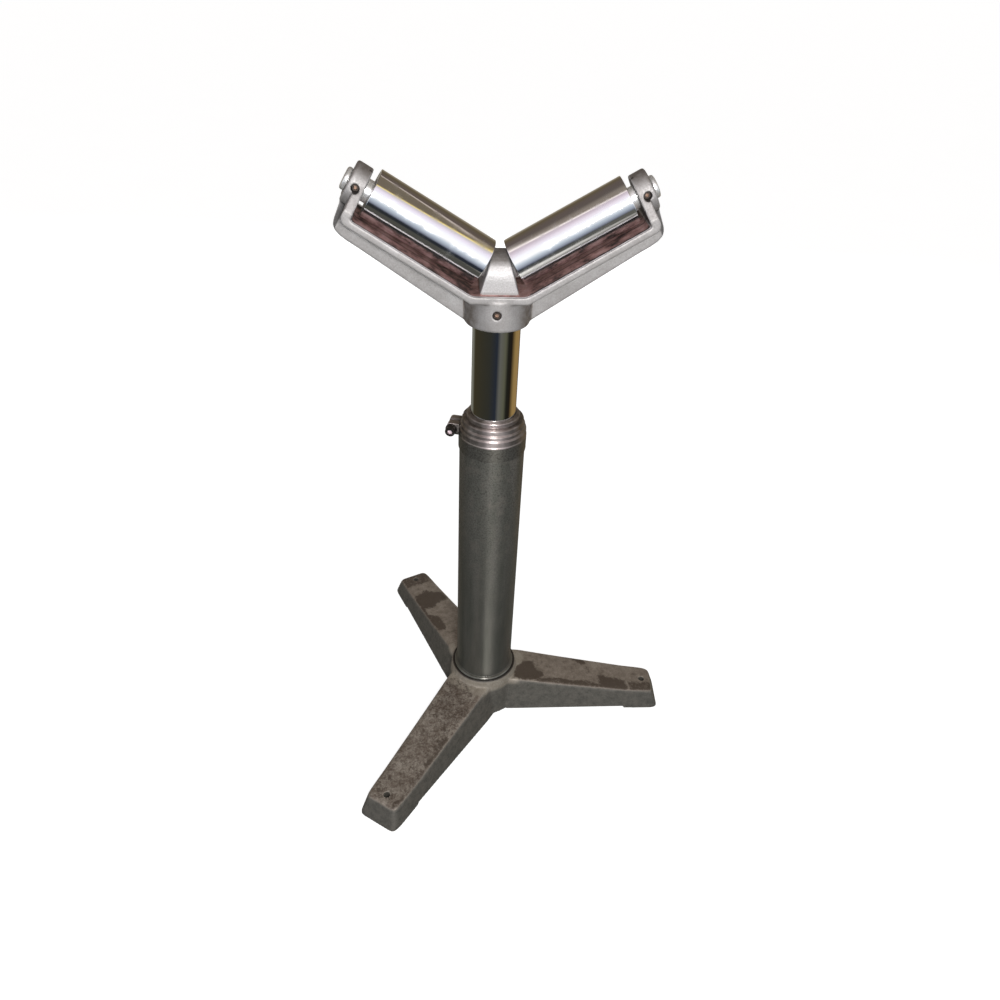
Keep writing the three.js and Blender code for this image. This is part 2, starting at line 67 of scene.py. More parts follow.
SCENE.view_settings.view_transform = "Standard"
SCENE.view_settings.look = "None"
SCENE.view_settings.exposure = 0.0
SCENE.view_settings.gamma = 1.0


# ------------------------------------------------------------------ small maths
def lin(r, g, b):
    """Display values 0 to 255 as a linear colour."""
    out = []
    for c in (r, g, b):
        c /= 255.0
        out.append(c / 12.92 if c <= 0.04045 else ((c + 0.055) / 1.055) ** 2.4)
    return (*out, 1.0)


def smooth(x, lo, hi):
    t = np.clip((x - lo) / (hi - lo), 0.0, 1.0)
    return t * t * (3 - 2 * t)


def wobble(p, size, seed):
    """A smooth field of about -1 to 1, with features of the given size; p is an array of points."""
    out = np.zeros(len(p))
    k = 2 * math.pi / size
    rows = [(0.9, 0.37, 0.21, 1.3), (-0.41, 0.83, 0.33, 2.9), (0.27, -0.52, 0.87, 4.1),
            (1.71, 0.66, -0.43, 0.7), (-0.73, -1.53, 0.61, 5.2), (0.58, 1.12, 1.37, 3.3)]
    for i, (a, b, c, ph) in enumerate(rows):
        s = seed * 1.618 * (i + 1)
        out += np.sin(k * (a * p[:, 0] + b * p[:, 1] + c * p[:, 2]) + ph + s) / (1 + 0.35 * i)
    return out / 3.0


# ------------------------------------------------------------------ mesh helpers
def link(obj):
    SCENE.collection.objects.link(obj)
    return obj


def from_arrays(name, verts, faces, matrix=None):
    """verts in millimetres; matrix places them in metres."""
    me = bpy.data.meshes.new(name)
    me.from_pydata([tuple(v) for v in verts], [], faces)
    me.validate()
    obj = link(bpy.data.objects.new(name, me))
    if matrix is not None:
        me.transform(SCALE)
        obj.matrix_world = matrix
    return obj


def settle(obj):
    """Applies the modifiers."""
    bpy.context.view_layer.update()
    dg = bpy.context.evaluated_depsgraph_get()
    me = bpy.data.meshes.new_from_object(obj.evaluated_get(dg), preserve_all_data_layers=True, depsgraph=dg)
    old = obj.data
    obj.modifiers.clear()
    obj.data = me
    me.name = obj.name
    bpy.data.meshes.remove(old)
    return obj


def shade(obj, angle=32.0, weighted=True):
    me = obj.data
    me.shade_smooth()
    me.set_sharp_from_angle(angle=math.radians(angle))
    if weighted:
        mod = obj.modifiers.new("normals", "WEIGHTED_NORMAL")
        mod.keep_sharp = True
        mod.weight = 60
        settle(obj)
    return obj


def fillet(profile, closed, steps=4):
    """A profile of (r, z) or (r, z, radius) with its corners rounded."""
    n = len(profile)
    out = []
    for i in range(n):
        b = Vector(profile[i][:2])
        rad = profile[i][2] if len(profile[i]) > 2 else 0.0
        if rad <= 0 or (not closed and i in (0, n - 1)):
            out.append((b.x, b.y))
            continue
        a, c = Vector(profile[(i - 1) % n][:2]), Vector(profile[(i + 1) % n][:2])
        u, v = (a - b), (c - b)
        la, lc = u.length, v.length
        u.normalize()
        v.normalize()
        ang = u.angle(v)
        if ang > math.radians(176):
            out.append((b.x, b.y))
            continue
        t = min(rad / math.tan(ang / 2), 0.48 * la, 0.48 * lc)
        p0, p2 = b + u * t, b + v * t
        for k in range(steps + 1):
            s = k / steps
            q = p0 * (1 - s) ** 2 + b * 2 * s * (1 - s) + p2 * s ** 2
            out.append((q.x, q.y))
    return out


def lathe(name, profile, matrix, segs=128, closed=True, radius=0.35, steps=3, knurl=None):
    """A turned piece about local Z. An open profile ends on the axis at both ends.
    knurl is (z0, z1, count, depth) in millimetres."""
    prof = [p if len(p) > 2 else (p[0], p[1], radius) for p in profile]
    pts = fillet(prof, closed, steps)
    verts, faces = [], []
    n = len(pts)
    for i in range(segs):
        a = 2 * math.pi * i / segs
        ca, sa = math.cos(a), math.sin(a)
        for r, z in pts:
            if knurl and knurl[0] <= z <= knurl[1]:
                r = r - knurl[3] * (0.5 - 0.5 * math.cos(a * knurl[2]))
            verts.append((r * ca, r * sa, z))
    for i in range(segs):
        j = (i + 1) % segs
        for k in range(n if closed else n - 1):
            m = (k + 1) % n
            faces.append((i * n + k, j * n + k, j * n + m, i * n + m))
    if not closed:
        lo, hi = len(verts), len(verts) + 1
        verts += [(0, 0, pts[0][1]), (0, 0, pts[-1][1])]
        for i in range(segs):
            j = (i + 1) % segs
            faces.append((lo, j * n, i * n))
            faces.append((hi, i * n + n - 1, j * n + n - 1))
    obj = from_arrays(name, verts, faces, matrix)
    bm = bmesh.new()
    bm.from_mesh(obj.data)
    bmesh.ops.recalc_face_normals(bm, faces=bm.faces)
    bm.to_mesh(obj.data)
    bm.free()
    return obj


def prism(name, outline, z0, z1, matrix):
    """An outline of (x, y) run from z0 to z1, millimetres."""
    n = len(outline)
    verts = [(x, y, z0) for x, y in outline] + [(x, y, z1) for x, y in outline]
    faces = [tuple(reversed(range(n))), tuple(range(n, 2 * n))]
    faces += [(i, (i + 1) % n, n + (i + 1) % n, n + i) for i in range(n)]
    obj = from_arrays(name, verts, faces, matrix)
    bm = bmesh.new()
    bm.from_mesh(obj.data)
    bmesh.ops.recalc_face_normals(bm, faces=bm.faces)
    bm.to_mesh(obj.data)
    bm.free()
    return obj


def combine(obj, other, operation):
    mod = obj.modifiers.new("join", "BOOLEAN")
    mod.operation = operation
    mod.object = other
    mod.solver = "EXACT"
    settle(obj)
    gone = other.data
    bpy.data.objects.remove(other)
    bpy.data.meshes.remove(gone)
    return obj


def ring(n, r, turn=0.0, cx=0.0, cy=0.0):
    return [(cx + r * math.cos(turn + 2 * math.pi * i / n), cy + r * math.sin(turn + 2 * math.pi * i / n)) for i in range(n)]


def attribute(me, name, values):
    a = me.attributes.get(name) or me.attributes.new(name, "FLOAT", "POINT")
    a.data.foreach_set("value", np.ascontiguousarray(values, np.float32))


def casting(name, node, voxel, rounds, bores=()):
    """A cast skin over a CAD node: its edges and inner corners are rounded off.
    Each bore (point, direction, radius, from, to) in millimetres of the stand frame is kept open and round.
    Returns the object, its points (mm, stand frame) and its normals."""
    obj = link(bpy.data.objects.new(name, NODES[node].data.copy()))
    mod = obj.modifiers.new("skin", "REMESH")
    mod.mode = "VOXEL"
    mod.voxel_size = voxel * MM
    mod.adaptivity = 0.0
    settle(obj)
    me = obj.data
    n = len(me.vertices)
    co = np.empty(n * 3, np.float64)
    me.vertices.foreach_get("co", co)
    co = co.reshape(-1, 3)
    nor = np.empty(n * 3, np.float32)
    me.vertex_normals.foreach_get("vector", nor)
    nor = nor.reshape(-1, 3).astype(np.float64)
    ed = np.empty(len(me.edges) * 2, np.int32)
    me.edges.foreach_get("vertices", ed)
    ed = ed.reshape(-1, 2)
    both = np.concatenate([ed[:, 0], ed[:, 1]])
    other = np.concatenate([ed[:, 1], ed[:, 0]])
    deg = np.maximum(np.bincount(both, minlength=n), 1)[:, None]
    start = co.copy()
    mid_nor = None
    for i in range(rounds):
        avg = np.stack([np.bincount(both, weights=co[other, k], minlength=n) for k in range(3)], 1) / deg
        co = co + 0.5 * (avg - co)
        if i == 2:
            me.vertices.foreach_set("co", co.reshape(-1))
            me.update()
            me.vertex_normals.foreach_get("vector", tmp := np.empty(n * 3, np.float32))
            mid_nor = tmp.reshape(-1, 3).astype(np.float64)
    lift = np.einsum("ij,ij->i", start - co, mid_nor) / MM     # > 0 where an edge was worn off
    lo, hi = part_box(node)
    co = np.clip(co, np.array(lo), np.array(hi))
    p = co / MM - np.array(AXIS) / MM
    for point, direction, radius, s0, s1 in bores:
        c, d = np.array(point, float), np.array(direction, float)
        d /= np.linalg.norm(d)
        s = (p - c) @ d
        away = p - c - np.outer(s, d)
        r = np.linalg.norm(away, axis=1)
        inside = (r < radius) & (s > s0) & (s < s1) & (r > radius * 0.45)
        p[inside] += away[inside] * ((radius - r[inside]) / r[inside])[:, None]
    co = (p + np.array(AXIS) / MM) * MM
    me.vertices.foreach_set("co", co.reshape(-1))
    me.update()
    me.shade_smooth()
    me.vertex_normals.foreach_get("vector", tmp := np.empty(n * 3, np.float32))
    attribute(me, "worn", smooth(lift, 0.10, 0.75))
    # cavity marks the inner corners; the materials darken them as painted shade
    attribute(me, "cavity", smooth(-lift, 0.08, 0.6))
    return obj, p, tmp.reshape(-1, 3).astype(np.float64)


# ------------------------------------------------------------------ materials
class Material:
    """Small helper round a node tree; a socket argument may be a number, a colour or an output."""

    def __init__(self, name):
        self.m = bpy.data.materials.new(name)
        self.m.use_nodes = True
        self.t = self.m.node_tree
        self.bsdf = self.t.nodes["Principled BSDF"]
        self.coord = self.t.nodes.new("ShaderNodeTexCoord").outputs["Object"]

    def put(self, socket, value):
        if isinstance(value, bpy.types.NodeSocket):
            self.t.links.new(value, socket)
        else:
            socket.default_value = value

    def node(self, kind, **kw):
        n = self.t.nodes.new(kind)
        for k, v in kw.items():
            setattr(n, k, v)
        return n

    def scaled(self, x, y, z):
        n = self.node("ShaderNodeMapping")
        self.put(n.inputs["Vector"], self.coord)
        n.inputs["Scale"].default_value = (x, y, z)
        return n.outputs["Vector"]

    def noise(self, scale, detail=3.0, rough=0.55, at=None, distortion=0.0):
        n = self.node("ShaderNodeTexNoise")
        self.put(n.inputs["Vector"], at or self.coord)
        n.inputs["Scale"].default_value = scale
        n.inputs["Detail"].default_value = detail
        n.inputs["Roughness"].default_value = rough
        n.inputs["Distortion"].default_value = distortion
        return n.outputs["Fac"]

    def cells(self, scale, at=None, feature="F1", randomness=1.0):
        n = self.node("ShaderNodeTexVoronoi", feature=feature)
        self.put(n.inputs["Vector"], at or self.coord)
        n.inputs["Scale"].default_value = scale
        n.inputs["Randomness"].default_value = randomness
        return n.outputs["Distance"]

    def ramp(self, fac, *stops):
        n = self.node("ShaderNodeValToRGB")
        self.put(n.inputs["Fac"], fac)
        e = n.color_ramp.elements
        while len(e) < len(stops):
            e.new(0.5)
        for el, (pos, col) in zip(e, stops):
            el.position = pos
            el.color = col if isinstance(col, tuple) else (col, col, col, 1.0)
        return n.outputs["Color"]

    def fit(self, value, a, b, c, d):
        n = self.node("ShaderNodeMapRange")
        self.put(n.inputs["Value"], value)
        for k, v in zip(("From Min", "From Max", "To Min", "To Max"), (a, b, c, d)):
            n.inputs[k].default_value = v
        return n.outputs["Result"]

    def math(self, op, a, b=0.0, clamp=False):
        n = self.node("ShaderNodeMath", operation=op, use_clamp=clamp)
        self.put(n.inputs[0], a)
        self.put(n.inputs[1], b)
        return n.outputs[0]

    def mix(self, fac, a, b, blend="MIX"):
        n = self.node("ShaderNodeMix", data_type="RGBA", blend_type=blend, clamp_factor=True)
        self.put(n.inputs[0], fac)
        self.put(n.inputs[6], a)
        self.put(n.inputs[7], b)
        return n.outputs[2]

    def attr(self, name):
        return self.node("ShaderNodeAttribute", attribute_name=name).outputs["Fac"]

    def bump(self, height, distance, strength=1.0, normal=None):
        n = self.node("ShaderNodeBump")
        self.put(n.inputs["Height"], height)
        n.inputs["Distance"].default_value = distance
        n.inputs["Strength"].default_value = strength
        if normal is not None:
            self.put(n.inputs["Normal"], normal)
        return n.outputs["Normal"]

    def turned(self, amount):
        """Fine grooves round the piece's own Z: highlights spread up and down and stay narrow round it."""
        t = self.node("ShaderNodeTangent", direction_type="RADIAL", axis="Z")
        self.t.links.new(t.outputs["Tangent"], self.bsdf.inputs["Tangent"])
        self.bsdf.inputs["Anisotropic"].default_value = amount
        self.bsdf.inputs["Anisotropic Rotation"].default_value = 0.25

    def set(self, **kw):
        names = {"color": "Base Color", "rough": "Roughness", "metal": "Metallic", "normal": "Normal",
                 "spec": "Specular IOR Level", "coat": "Coat Weight", "coat_rough": "Coat Roughness"}
        for k, v in kw.items():
            self.put(self.bsdf.inputs[names[k]], v)
        return self.m


def head_iron():
    """Silver paint on cast iron: fine grain, worn edges bright, the trough's floor primer brown; painted shade in the
    inner corners, the creases and round the holes, on the upward tops and the hub's sides; painted highlights on the
    post and along the lips.
    """
    m = Material("head_iron")
    patch = m.noise(38, 4, 0.6)
    grain = m.noise(620, 3, 0.65)
    pits = m.cells(420, feature="SMOOTH_F1")
    silver = m.ramp(patch, (0.25, (0.325, 0.313, 0.307, 1)), (0.55, (0.415, 0.403, 0.399, 1)), (0.8, (0.48, 0.472, 0.472, 1)))
    # painted highlight: the post's front is mixed towards a light silver
    silver = m.mix(m.attr("post_highlight"), silver, (0.56, 0.55, 0.55, 1))
    silver = m.mix(m.fit(grain, 0.35, 0.68, 0.0, 0.42), silver, (0.28, 0.265, 0.25, 1))
    silver = m.mix(m.math("MULTIPLY", m.attr("worn"), 0.75), silver, (0.68, 0.67, 0.66, 1))
    shade_noise = m.noise(150, 3, 0.6)
    # painted shade in the inner corners, broken up by noise
    silver = m.mix(m.math("MULTIPLY", m.attr("cavity"), m.fit(shade_noise, 0.3, 0.7, 0.55, 1.0)), silver, (0.07, 0.055, 0.047, 1))
    blot = m.noise(44, 6, 0.70)
    brown = m.ramp(blot, (0.38, (0.028, 0.017, 0.014, 1)), (0.46, (0.150, 0.080, 0.071, 1)),
                   (0.56, (0.28, 0.162, 0.150, 1)), (0.70, (0.38, 0.255, 0.240, 1)))
    # painted shade on the upward tops of the bosses and post and on the hub's sides, broken up by noise
    silver = m.mix(m.math("MULTIPLY", m.attr("shade_on_tops_and_sides"), m.fit(shade_noise, 0.3, 0.7, 0.25, 0.75)), silver, (0.16, 0.135, 0.115, 1))
    # painted highlight along the inner edge of each lip
    silver = m.mix(m.math("MULTIPLY", m.attr("edge"), m.fit(patch, 0.3, 0.6, 0.6, 1.0)), silver, (0.93, 0.90, 0.93, 1))
    col = m.mix(m.attr("trough"), silver, brown)
    # painted shade and shadow in the creases: beside the lips, on the web under the strap, round the screw holes
    col = m.mix(m.attr("crease_shade"), col, (0.012, 0.010, 0.009, 1))
    col = m.mix(m.attr("shade"), col, (0.040, 0.034, 0.026, 1))
    rough = m.fit(grain, 0.3, 0.7, 0.58, 0.72)
    metal = m.fit(m.math("ADD", m.math("ADD", m.attr("trough"), m.attr("edge")), m.attr("shade"), True), 0.0, 1.0, 0.82, 0.1)
    n1 = m.bump(patch, 0.0006, 0.35)
    n2 = m.bump(m.math("ADD", m.math("MULTIPLY", grain, 0.7), m.math("MULTIPLY", pits, 0.4)), 0.00022, 0.75, n1)
    return m.set(color=col, rough=rough, metal=metal, normal=n2, spec=0.5)


def base_iron():
    """Dark paint on a sand casting: sides cool grey, tops warm brown, mottled, with dark stains."""
    m = Material("base_iron")
    big = m.noise(26, 4, 0.6)
    mid = m.noise(120, 4, 0.68)
    grain = m.noise(520, 3, 0.7)
    side = m.ramp(mid, (0.3, (0.084, 0.082, 0.070, 1)), (0.5, (0.128, 0.122, 0.105, 1)), (0.72, (0.172, 0.160, 0.138, 1)))
    top = m.ramp(m.math("ADD", m.math("MULTIPLY", mid, 0.6), m.math("MULTIPLY", big, 0.4)),
                 (0.32, (0.145, 0.118, 0.094, 1)), (0.47, (0.245, 0.208, 0.170, 1)), (0.62, (0.325, 0.285, 0.238, 1)))
    speck = m.fit(m.noise(300, 4, 0.75), 0.42, 0.64, 0.0, 1.0)
    cloud = m.fit(m.noise(58, 6, 0.74, distortion=0.6), 0.43, 0.60, 0.0, 1.0)
    both = m.math("ADD", m.math("MULTIPLY", cloud, 0.62), m.math("MULTIPLY", speck, 0.38))
    mottled = m.mix(both, (0.125, 0.096, 0.074, 1), (0.385, 0.350, 0.300, 1))
    top = m.mix(m.math("MULTIPLY", m.attr("mottle"), 0.85), top, mottled)
    col = m.mix(m.attr("top"), side, top)
    col = m.mix(m.attr("tan"), col, m.mix(m.fit(mid, 0.3, 0.7, 0.0, 1.0), (0.27, 0.236, 0.19, 1), (0.40, 0.365, 0.305, 1)))
    ragged = m.math("ADD", m.attr("stain"), m.math("ADD", m.fit(mid, 0.3, 0.7, -0.34, 0.34), m.fit(speck, 0.0, 1.0, 0.18, -0.18)))
    soil = m.mix(m.fit(grain, 0.35, 0.65, 0.0, 1.0), (0.050, 0.037, 0.027, 1), (0.092, 0.070, 0.053, 1))
    col = m.mix(m.fit(ragged, 0.30, 0.80, 0.0, 0.88), col, soil)
    col = m.mix(m.math("MULTIPLY", m.attr("worn"), m.fit(mid, 0.35, 0.65, 0.30, 0.85)), col, (0.46, 0.42, 0.36, 1))
    # painted shade in the groove round the column's bead
    col = m.mix(m.attr("groove"), col, (0.022, 0.018, 0.014, 1))
    # painted shade in the inner corners
    col = m.mix(m.math("MULTIPLY", m.attr("cavity"), 0.7), col, (0.02, 0.017, 0.014, 1))
    col = m.mix(m.fit(grain, 0.35, 0.7, 0.0, 0.25), col, (0.03, 0.026, 0.022, 1))
    rough = m.fit(grain, 0.3, 0.7, 0.40, 0.62)
    n1 = m.bump(mid, 0.0007, 0.45)
    n2 = m.bump(grain, 0.00025, 0.7, n1)
    return m.set(color=col, rough=rough, metal=0.2, normal=n2, spec=0.45)


def tube_paint():
    """Satin dark paint, grainy towards the top and smooth towards the bottom."""
    m = Material("tube_paint")
    sep = m.node("ShaderNodeSeparateXYZ")
    m.put(sep.inputs[0], m.coord)
    high = m.fit(sep.outputs["Z"], 0.16, 0.44, 0.0, 1.0)
    grain = m.noise(430, 4, 0.72)
    soft = m.noise(60, 4, 0.6)
    run = m.noise(1, 3, 0.6, at=m.scaled(70, 70, 9))
    base = m.ramp(run, (0.3, (0.105, 0.108, 0.092, 1)), (0.5, (0.135, 0.135, 0.118, 1)), (0.7, (0.165, 0.160, 0.143, 1)))
    spots = m.math("MULTIPLY", m.fit(grain, 0.42, 0.66, 0.0, 0.8), high)
    col = m.mix(spots, base, (0.040, 0.037, 0.031, 1))
    col = m.mix(m.math("MULTIPLY", m.fit(soft, 0.50, 0.75, 0.0, 0.5), high), col, (0.20, 0.178, 0.155, 1))
    rough = m.math("ADD", m.fit(high, 0.0, 1.0, 0.30, 0.46), m.fit(grain, 0.3, 0.7, -0.03, 0.05))
    n1 = m.bump(grain, 0.00012, 0.7)
    n2 = m.bump(soft, 0.0002, 0.25, n1)
    m.turned(0.65)
    return m.set(color=col, rough=rough, metal=0.6, normal=n2, spec=0.5)


def collar_steel():
    """Turned steel under thin dark paint, with a painted highlight on the front of its steps and rubbed-bright lug
    ends.
    """
    m = Material("collar_steel")
    lines = m.noise(1, 2, 0.5, at=m.scaled(6, 6, 2600))
    stain = m.noise(75, 4, 0.65)
    col = m.ramp(stain, (0.3, (0.115, 0.100, 0.086, 1)), (0.52, (0.215, 0.190, 0.172, 1)), (0.75, (0.35, 0.315, 0.295, 1)))
    col = m.mix(m.fit(lines, 0.35, 0.7, 0.0, 0.3), col, (0.10, 0.088, 0.074, 1))
    # the skirt, below the step, carries the tube's grainy paint
    sep = m.node("ShaderNodeSeparateXYZ")
    m.put(sep.inputs[0], m.coord)
    grain = m.noise(430, 4, 0.72)
    paint = m.mix(m.fit(grain, 0.42, 0.66, 0.0, 0.8), (0.15, 0.146, 0.128, 1), (0.045, 0.041, 0.034, 1))
    skirt = m.fit(m.math("ADD", sep.outputs["Z"], m.fit(grain, 0.3, 0.7, -0.0006, 0.0006)), 0.5188, 0.5174, 0.0, 1.0)
    # the colour of the painted highlight on the front and of the rubbed lug ends
    light_patch = m.mix(m.fit(stain, 0.3, 0.7, 0.0, 1.0), (0.34, 0.295, 0.285, 1), (0.58, 0.51, 0.50, 1))
    col = m.mix(m.math("MULTIPLY", m.attr("highlight_and_rub"), m.fit(lines, 0.3, 0.7, 0.7, 1.0)), col, light_patch)
    col = m.mix(skirt, col, paint)
    rough = m.math("ADD", m.fit(stain, 0.3, 0.7, 0.34, 0.42), m.fit(skirt, 0.0, 1.0, 0.0, 0.06))
    m.turned(0.65)
    return m.set(color=col, rough=rough, metal=0.85, normal=m.bump(lines, 0.00006, 0.5), spec=0.5)


def chrome(name, tint, turned, clouds=0.0):
    """Polished plating with faint turning marks, haze and a few fine scratches."""
    m = Material(name)
    haze = m.noise(34, 4, 0.6)
    marks = m.noise(1, 2, 0.5, at=m.scaled(5, 5, turned))
    scratch = m.noise(1, 2, 0.4, at=m.scaled(900, 900, 22))
    col = m.mix(m.fit(haze, 0.3, 0.7, 0.0, 0.25), tint, tuple(c * 0.86 for c in tint[:3]) + (1,))
    r = m.math("ADD", m.fit(haze, 0.35, 0.75, 0.035, 0.085), m.fit(scratch, 0.60, 0.78, 0.0, 0.05))
    if clouds:
        film = m.noise(46, 6, 0.7, distortion=0.4)
        r = m.math("ADD", r, m.fit(film, 0.46, 0.72, 0.0, clouds))
        col = m.mix(m.fit(film, 0.50, 0.70, 0.0, 0.22), col, (0.62, 0.66, 0.74, 1))
    n = m.bump(marks, 0.000012, 0.6)
    n = m.bump(haze, 0.00005, 0.35, n)
    return m.set(color=col, rough=r, metal=1.0, normal=n)


def bright_steel():
    """Bright zinc plating."""
    m = Material("bright_steel")
    cloud = m.noise(130, 4, 0.6)
    fine = m.noise(900, 2, 0.5)
    col = m.ramp(cloud, (0.3, (0.60, 0.61, 0.60, 1)), (0.55, (0.74, 0.74, 0.73, 1)), (0.8, (0.84, 0.835, 0.84, 1)))
    return m.set(color=col, rough=m.fit(fine, 0.3, 0.7, 0.26, 0.40), metal=0.65, normal=m.bump(fine, 0.00006, 0.5))


def dark_steel():
    """Black-oxide steel, with a painted reflection at the bottom of the clamp screw's socket."""
    m = Material("dark_steel")
    cloud = m.noise(260, 4, 0.65)
    fine = m.noise(1400, 2, 0.5)
    col = m.ramp(cloud, (0.3, (0.022, 0.019, 0.017, 1)), (0.55, (0.045, 0.039, 0.035, 1)), (0.8, (0.10, 0.085, 0.075, 1)))
    # painted reflection: a lighter patch at the bottom of the clamp screw's socket
    col = m.mix(m.attr("light_patch"), col, m.mix(m.fit(cloud, 0.3, 0.7, 0.0, 1.0), (0.62, 0.52, 0.55, 1), (0.85, 0.74, 0.78, 1)))
    metal = m.fit(m.attr("light_patch"), 0.0, 1.0, 0.75, 0.2)
    return m.set(color=col, rough=m.fit(cloud, 0.3, 0.7, 0.30, 0.48), metal=metal, normal=m.bump(fine, 0.00006, 0.5))


def grub_steel():
    """Set screws: dark steel, rust brown at the bottom of the socket."""
    m = Material("grub_steel")
    cloud = m.noise(420, 4, 0.65)
    col = m.ramp(cloud, (0.3, (0.030, 0.022, 0.017, 1)), (0.55, (0.060, 0.044, 0.036, 1)), (0.8, (0.12, 0.095, 0.08, 1)))
    col = m.mix(m.attr("light_patch"), col, m.mix(m.fit(cloud, 0.35, 0.65, 0.0, 1.0), (0.26, 0.155, 0.105, 1), (0.42, 0.29, 0.22, 1)))
    return m.set(color=col, rough=m.fit(cloud, 0.3, 0.7, 0.36, 0.52), metal=0.3, normal=m.bump(cloud, 0.00006, 0.5))


def bearing_steel():
    m = Material("bearing_steel")
    lines = m.noise(1, 2, 0.5, at=m.scaled(900, 900, 900))
    col = m.ramp(lines, (0.3, (0.34, 0.34, 0.35, 1)), (0.7, (0.52, 0.52, 0.53, 1)))
    return m.set(color=col, rough=m.fit(lines, 0.3, 0.7, 0.16, 0.30), metal=0.95, normal=m.bump(lines, 0.00003, 0.4))


def bush_polymer():
    m = Material("bush_polymer")
    cloud = m.noise(200, 3, 0.6)
    col = m.ramp(cloud, (0.3, (0.028, 0.028, 0.029, 1)), (0.7, (0.05, 0.049, 0.048, 1)))
    return m.set(color=col, rough=m.fit(cloud, 0.3, 0.7, 0.42, 0.58), metal=0.0, normal=m.bump(cloud, 0.00008, 0.5))


MATS = {
    "head_iron": head_iron(), "base_iron": base_iron(), "tube_paint": tube_paint(), "collar_steel": collar_steel(),
    "column_chrome": chrome("column_chrome", (0.80, 0.80, 0.79, 1), 1500),
    "roller_chrome": chrome("roller_chrome", (0.83, 0.83, 0.84, 1), 2400, clouds=0.18),
    "bright_steel": bright_steel(), "dark_steel": dark_steel(), "grub_steel": grub_steel(),
    "bearing_steel": bearing_steel(), "bush_polymer": bush_polymer(),
}


def place(obj, body, slot, *nodes, look=None):
    """Puts a finished piece on its body, in place of its CAD nodes."""
    obj.data.materials.clear()
    obj.data.materials.append(MATS[look or slot])
    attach(obj, body)
    if nodes:
        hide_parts(*nodes)
    return obj


# the nodes that stay as they are, inside the bearings and the column
for n, obj in NODES.items():
    keep = "bearing_steel" if ("race" in n or "cage" in n) else ("bush_polymer" if "bush" in n and "ring" not in n else "dark_steel")
    obj.data.materials.clear()
    obj.data.materials.append(MATS[keep])


# ------------------------------------------------------------------ base casting
def leg_frame(k):
    a = BASE_TURN + k * 2 * math.pi / 3
    return np.array([math.cos(a), math.sin(a)]), np.array([-math.sin(a), math.cos(a)])


legs = [leg_frame(k) for k in range(3)]
bores = [((0, 0, 0), (0, 0, 1), 44.8, 14.5, 90), ((0, 0, 0), (0, 0, 1), 37.0, -5, 13)]
bores += [((272 * e[0], 272 * e[1], 0), (0, 0, 1), 4.5, -5, 60) for e, _ in legs]
base, p, nor = casting("base_cast", "base_casting", 1.4, 6, bores)
attribute(base.data, "top", smooth(nor[:, 2], 0.45, 0.85))


def inside_by(u, v, outline):
    """How far each point lies inside a closed outline; negative outside."""
    q = np.array(outline, float)
    best = np.full(len(u), 1e9)
    inn = np.zeros(len(u), bool)
    for (x0, y0), (x1, y1) in zip(q, np.roll(q, -1, 0)):
        dx, dy = x1 - x0, y1 - y0
        t = np.clip(((u - x0) * dx + (v - y0) * dy) / (dx * dx + dy * dy), 0, 1)
        best = np.minimum(best, np.hypot(u - x0 - t * dx, v - y0 - t * dy))
        if dy:
            inn ^= ((y0 > v) != (y1 > v)) & (u < x0 + (v - y0) * dx / dy)
    return np.where(inn, best, -best)


# stains on the leg tops: leg, strength, edge softness, outline as (distance out, distance to the leg's left)
STAINS = [
    (0, 1.0, 2.5, [(48, -31), (57, -7), (63, 6), (73, 10), (84, 12), (88, -2), (101, -12), (100, -23), (90, -29), (70, -33)]),
    (0, 0.8, 2.0, [(88, -23), (128, -19), (138, -20), (168, -19), (174, -18), (197, -23), (197, -34), (127, -35), (88, -35)]),
    (0, 0.95, 2.5, [(196, -4), (207, -3), (221, -5), (243, -7), (245, -18), (244, -36), (214, -36), (195, -27)]),
    (0, 0.75, 3.0, [(247, -8), (268, -9), (288, -5), (290, -35), (245, -36)]),
    (0, 0.9, 1.8, [(132, 36), (139, 28), (158, 24), (170, 16), (179, 20), (168, 36)]),
    (0, 0.55, 2.0, [(176, 14), (184, 14), (183, -1), (175, -2)]),
    (1, 1.0, 2.6, [(224, 22), (229, -3), (210, -24), (187, -31), (184, -5), (176, 10), (180, 26), (208, 30)]),
    (1, 0.95, 2.0, [(190, 23), (161, 27), (154, 20), (146, 13), (121, 12), (106, 20), (108, 30), (130, 32), (152, 32), (186, 33)]),
    (1, 0.75, 3.0, [(252, -25), (253, 0), (255, 28), (292, 28), (292, -28)]),
    (2, 0.50, 9.0, [(56, -34), (50, -8), (66, 20), (88, 36), (110, 36), (136, 34), (152, 24), (160, 8), (137, 0), (117, -34)]),
    (2, 0.72, 4.0, [(150, 22), (162, 17), (187, 19), (217, 19), (244, 22), (246, 36), (150, 36)]),
    (2, 0.66, 4.0, [(292, 8), (268, 17), (243, 24), (243, 36), (292, 36)]),
    (2, 0.34, 8.0, [(60, -36), (60, 36), (292, 36), (292, -36)]),
]
stain = np.zeros(len(p))
for k, w, soft, outline in STAINS:
    e, f = legs[k]
    d = inside_by(p[:, 0] * e[0] + p[:, 1] * e[1], p[:, 0] * f[0] + p[:, 1] * f[1], outline)
    soft *= 1.9
    d += 0.6 * soft * wobble(p, 21, k + w) + 0.4 * soft * wobble(p, 8, 2 + k)
    stain = np.maximum(stain, w * smooth(d, -soft, soft))
on_top = smooth(nor[:, 2], 0.6, 0.9)
u2 = p[:, 0] * legs[2][0][0] + p[:, 1] * legs[2][0][1]
reach = np.hypot(p[:, 0], p[:, 1])
attribute(base.data, "stain", stain * on_top)
attribute(base.data, "mottle", smooth(u2, 45, 80) * on_top)
